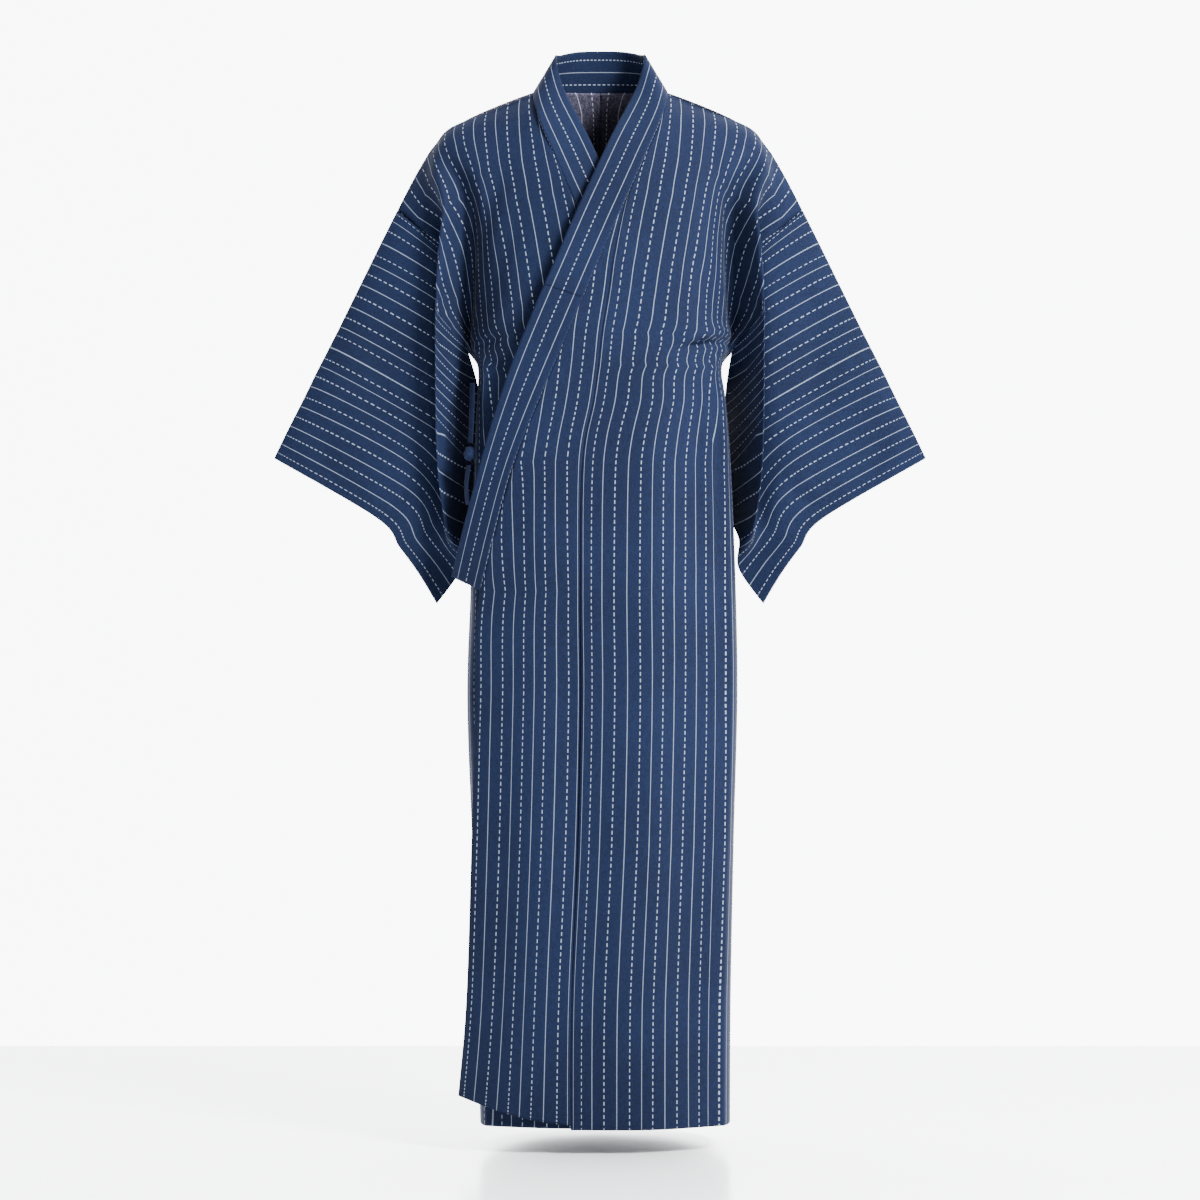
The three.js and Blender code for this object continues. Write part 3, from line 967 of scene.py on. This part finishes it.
@dataclass
class Overlap:
    """The panel sewn to a front's inner edge."""

    side: Side
    cloth: Wardrobe

    def rows(self) -> tuple[list, list, list]:
        """Sections from the seam to the free edge.

        Returns:
            The sections, and where their stations lie across and along the cloth.
        """
        outer = self.side is Side.LEFT
        seams = [OVERLAP_TOP] + [(row[0][1], row[0][0]) for row in FRONT_ROWS[4:]]
        seams += [(row[0], row[4]) for row in BODY]
        slant = sorted((seam[1], seam[0]) for seam, _ in COLLAR_CHEST)
        rows, cuts, lengths = [], [], []
        for z, seam in seams:
            whole = z < COLLAR_FOOT
            edge = body_row(next(r for r in BODY if r[0] == z))["edge"] if whole else look(slant, z)
            edge = edge if outer else tuck(edge)
            last = z == BODY[-1][0]
            rise = (HEM_CORNER - HEM_FRONT) if outer else 0.0
            row = []
            for share in (0, 1 / 3, 2 / 3, 1):
                x = seam + (edge - seam) * share
                y = flap_y(x, z) if outer else front_y(x, z) + LAYER
                row.append((x, y, HEM_FRONT + HEM_TURN + rise * share**1.5 if last else z))
            rows.append(row)
            run = arcs(row)
            full = OVERLAP_WIDE if whole else run[-1]
            cuts.append(SEAM_AT + run * (full / max(run[-1], 1e-6)))
            lengths.append([-z] * 4)
        return rows, cuts, lengths

    def build(self) -> bpy.types.Object:
        """Make the panel.

        Returns:
            The piece.
        """
        rows, cut, along = self.rows()
        name = self.side.name.lower()
        placed = rows if self.side is Side.LEFT else mirror(rows)
        folds = FOLDS["overlap"] if self.side is Side.LEFT else ()
        sheet = Sheet(f"overlap_{name}_cloth", placed, cut, along, folds, outward=self.side.value)
        piece = sheet.build()
        self.cloth.dress(piece, self.cloth.body, self.cloth.wrong)
        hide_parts(f"overlap_{name}")
        return piece


@dataclass
class Sleeve:
    """A sleeve folded over the arm."""

    side: Side
    cloth: Wardrobe

    def build(self) -> bpy.types.Object:
        """Make the sleeve.

        Returns:
            The piece.
        """
        rows, cuts, lengths = [], [], []
        for i, (front, back) in enumerate(zip(SLEEVE_FRONT, SLEEVE_BACK)):
            top, *down = front[1:]
            row = [*reversed(down), top, *back]
            inward = FOOT_IN[self.side] if 0 < i < 4 else 0
            for k in (0, -1):
                x, y, z = row[k]
                row[k] = (x - inward, y, z)
            rows.append(row)
            run = arcs(row)
            split = len(down)
            lengths.append(np.interp(run, (0, run[split], run[-1]), (0, SLEEVE_DEEP, 2 * SLEEVE_DEEP)))
            slants = [FOOT_SLANT[i]] + [0.0] * (len(row) - 1)
            start = FIRST_STRIPE + STRIPE_PITCH - SLEEVE_STRIPE + front[0]
            cuts.append([start + slant for slant in slants])
        name = self.side.name.lower()
        folds = FOLDS["sleeve"]
        placed = rows
        if self.side is Side.RIGHT:
            placed = mirror(rows)
            folds = [Crease((-f.start[0], f.start[1]), (-f.end[0], f.end[1]), f.width, f.depth,
                            -f.bow, f.behind) for f in folds]
        sheet = Sheet(f"sleeve_{name}_cloth", placed, cuts, lengths, folds, spacing=5.0,
                      outward=-self.side.value)
        piece = sheet.build()
        self.cloth.dress(piece, self.cloth.sleeve, self.cloth.wrong)
        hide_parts(f"sleeve_{name}")
        return piece


@dataclass
class Collar:
    """The doubled band and its cover collar."""

    cloth: Wardrobe

    def half(self, level: float) -> list[list[tuple[float, float, float]]]:
        """Sections from the back of the neck down one front.

        Args:
            level: How far this front lies behind the outer one.

        Returns:
            The sections, seam edge first.
        """
        rows = [list(row) for row in COLLAR_NECK]
        for i, row in enumerate(COLLAR_CHEST):
            sunk = level * min(1.0, i / 1.5)
            section = []
            for k, (x, z) in enumerate(row):
                side = tuck(x) if level else x
                depth = (front_y if level else flap_y)(side, min(z, -10))
                section.append((side, depth + sunk + (NECK_LIFT * k if i == 0 else 0), z))
            rows.append(section)
        return [[a, tuple((p + q) / 2 for p, q in zip(a, b)), b] for a, b in rows]

    def build(self) -> list[bpy.types.Object]:
        """Make the band and the cover.

        Returns:
            The two pieces.
        """
        outer, under = self.half(0.0), mirror(self.half(LAYER))
        rows = [*reversed(under[1:]), *outer]
        free = FIRST_STRIPE - BAND_STRIPE
        reach = (free + BAND_WIDE, free + BAND_WIDE / 2, free)
        band = Sheet("collar_cloth", rows, [reach] * len(rows), thick=BAND, spacing=5.0).build()
        self.cloth.dress(band, self.cloth.band, self.cloth.band_inner)
        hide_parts("collar")
        below = [tuple(p + (q - p) * COVER_PAST for p, q in zip(a, b))
                 for a, b in zip(outer[COVER_ROWS - 1], outer[COVER_ROWS])]
        part = [*outer[:COVER_ROWS], below]
        cover = Sheet("collar_cover_cloth", part, [reach] * len(part), thick=0.8, spacing=5.0,
                      push=2.0).build()
        self.cloth.dress(cover, self.cloth.band, self.cloth.band_inner)
        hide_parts("collar_cover")
        return [band, cover]


@dataclass
class SideTie:
    """The tie that holds the outer front at the wearer's right side."""

    cloth: Wardrobe

    def strip(self, name: str, places: list[tuple[float, float, float]], node: str) -> bpy.types.Object:
        """Make one flat length of tie.

        Args:
            name: Its name.
            places: Places along its middle.
            node: The frame's solid that it stands for.

        Returns:
            The piece.
        """
        rows = [[(x + k * TIE_WIDE * TIE_WAY[0], y + k * TIE_WIDE * TIE_WAY[1], z)
                 for k in (-0.5, 0.0, 0.5)] for x, y, z in places]
        folds = [Crease((places[0][0], places[0][2]), (places[-1][0], places[-1][2]), 2.5, 1.2)]
        piece = Sheet(name, rows, [[0, 5, 10]] * len(rows), creases=folds, spacing=2.0).build()
        self.cloth.dress(piece, self.cloth.tie)
        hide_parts(node)
        run = float(arcs(places)[-1]) * MM
        return piece

    def knot(self) -> bpy.types.Object:
        """Make the small tight knot.

        Returns:
            The piece.
        """
        bm = bmesh.new()
        bmesh.ops.create_icosphere(bm, subdivisions=4, radius=1.0)
        for vert in bm.verts:
            wrap = 1 + 0.08 * math.sin(9 * vert.co.z + 4 * vert.co.y) + 0.05 * math.sin(13 * vert.co.y)
            vert.co = [at * MM + size * MM * wrap * part for at, size, part in
                       zip(TIE_KNOT, (7.5, 8.5, 9.5), vert.co)]
        for face in bm.faces:
            face.smooth = True
        mesh = bpy.data.meshes.new("tie_knot_lump")
        bm.to_mesh(mesh)
        bm.free()
        mesh.uv_layers.new(name="cut")
        piece = bpy.data.objects.new("tie_knot_lump", mesh)
        bpy.context.scene.collection.objects.link(piece)
        self.cloth.dress(piece, self.cloth.tie)
        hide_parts("tie_knot")
        return piece

    def build(self) -> list[bpy.types.Object]:
        """Make the whole tie.

        Returns:
            Its pieces.
        """
        return [self.knot(), self.strip("tie_strap_cloth", TIE_STRAP, "tie_strap"),
                self.strip("tie_end_cloth", TIE_END, "tie_end")]


@dataclass
class Studio:
    """Pale floor, soft light and the camera."""

    def floor(self) -> None:
        """Make the pale floor, which ends a little way behind the robe."""
        bm = bmesh.new()
        bmesh.ops.create_grid(bm, x_segments=1, y_segments=1, size=1.0)
        for vert in bm.verts:
            vert.co = (vert.co.x * 14, vert.co.y * 5 - 3.9, FLOOR_Z)
        mesh = bpy.data.meshes.new("floor")
        bm.to_mesh(mesh)
        bm.free()
        floor = bpy.data.objects.new("floor", mesh)
        bpy.context.scene.collection.objects.link(floor)
        sh = Shader.material("pale_floor")
        shade = sh.node("ShaderNodeBsdfPrincipled", inputs={"Base Color": (0.86, 0.87, 0.89, 1.0),
                                                            "Roughness": 0.22})
        floor.data.materials.append(sh.close(shade))

    def lamp(self, name: str, place: tuple[float, float, float], size: float, power: float) -> None:
        """Hang one soft panel light that faces the robe.

        Args:
            name: Its name.
            place: Where it hangs, in metres.
            size: Its width.
            power: Its power.
        """
        data = bpy.data.lights.new(name, "AREA")
        data.size = size
        data.energy = power
        lamp = bpy.data.objects.new(name, data)
        bpy.context.scene.collection.objects.link(lamp)
        lamp.location = place
        aim = Vector((0, 0, -0.6)) - lamp.location
        lamp.rotation_euler = aim.to_track_quat("-Z", "Y").to_euler()

    def build(self) -> None:
        """Set the whole studio."""
        scene = bpy.context.scene
        sky = Shader(bpy.data.worlds.new("soft_white"))
        way = sky.node("ShaderNodeTexCoord", output="Generated")
        axes = sky.node("ShaderNodeSeparateXYZ", inputs={0: way}).socket.node.outputs
        right, back = Val(sky, axes[0]), Val(sky, axes[1])
        power = back.ramp(-0.1, 0.5) * 9.5 + right.ramp(-0.4, 0.9) * 0.8 + 0.15
        scene.world = sky.close(sky.node("ShaderNodeBackground", inputs={
            0: (0.96, 0.97, 1.0, 1.0), 1: power}))
        self.floor()
        self.lamp("key", (2.1, -2.3, 1.7), 1.0, 640)
        self.lamp("fill", (-1.4, -4.6, 1.4), 1.8, 22)
        data = bpy.data.cameras.new("view")
        data.lens = LENS
        data.clip_end = 60
        camera = bpy.data.objects.new("view", data)
        scene.collection.objects.link(camera)
        camera.location = (0.0, -EYE_AWAY, EYE_LEVEL)
        camera.rotation_euler = (math.pi / 2, 0.0, 0.0)
        scene.camera = camera


def finish(pieces: Iterable[bpy.types.Object]) -> None:
    """Fasten finished pieces to the body and log their face counts.

    Args:
        pieces: The pieces.
    """
    for piece in pieces:
        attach(piece, "root")
        LOG.info("%s: %d faces", piece.name, len(piece.data.polygons))


def main() -> None:
    """Build the robe piece by piece, then the studio."""
    logging.basicConfig(level=logging.INFO, format="%(message)s")
    Studio().build()
    cloth = Wardrobe()
    for side in Side:
        finish(BodyLength(side, cloth).build())
        finish([Overlap(side, cloth).build()])
    finish([Sleeve(side, cloth).build() for side in Side])
    finish(Collar(cloth).build())
    finish(SideTie(cloth).build())


if __name__ == "__main__":
    main()
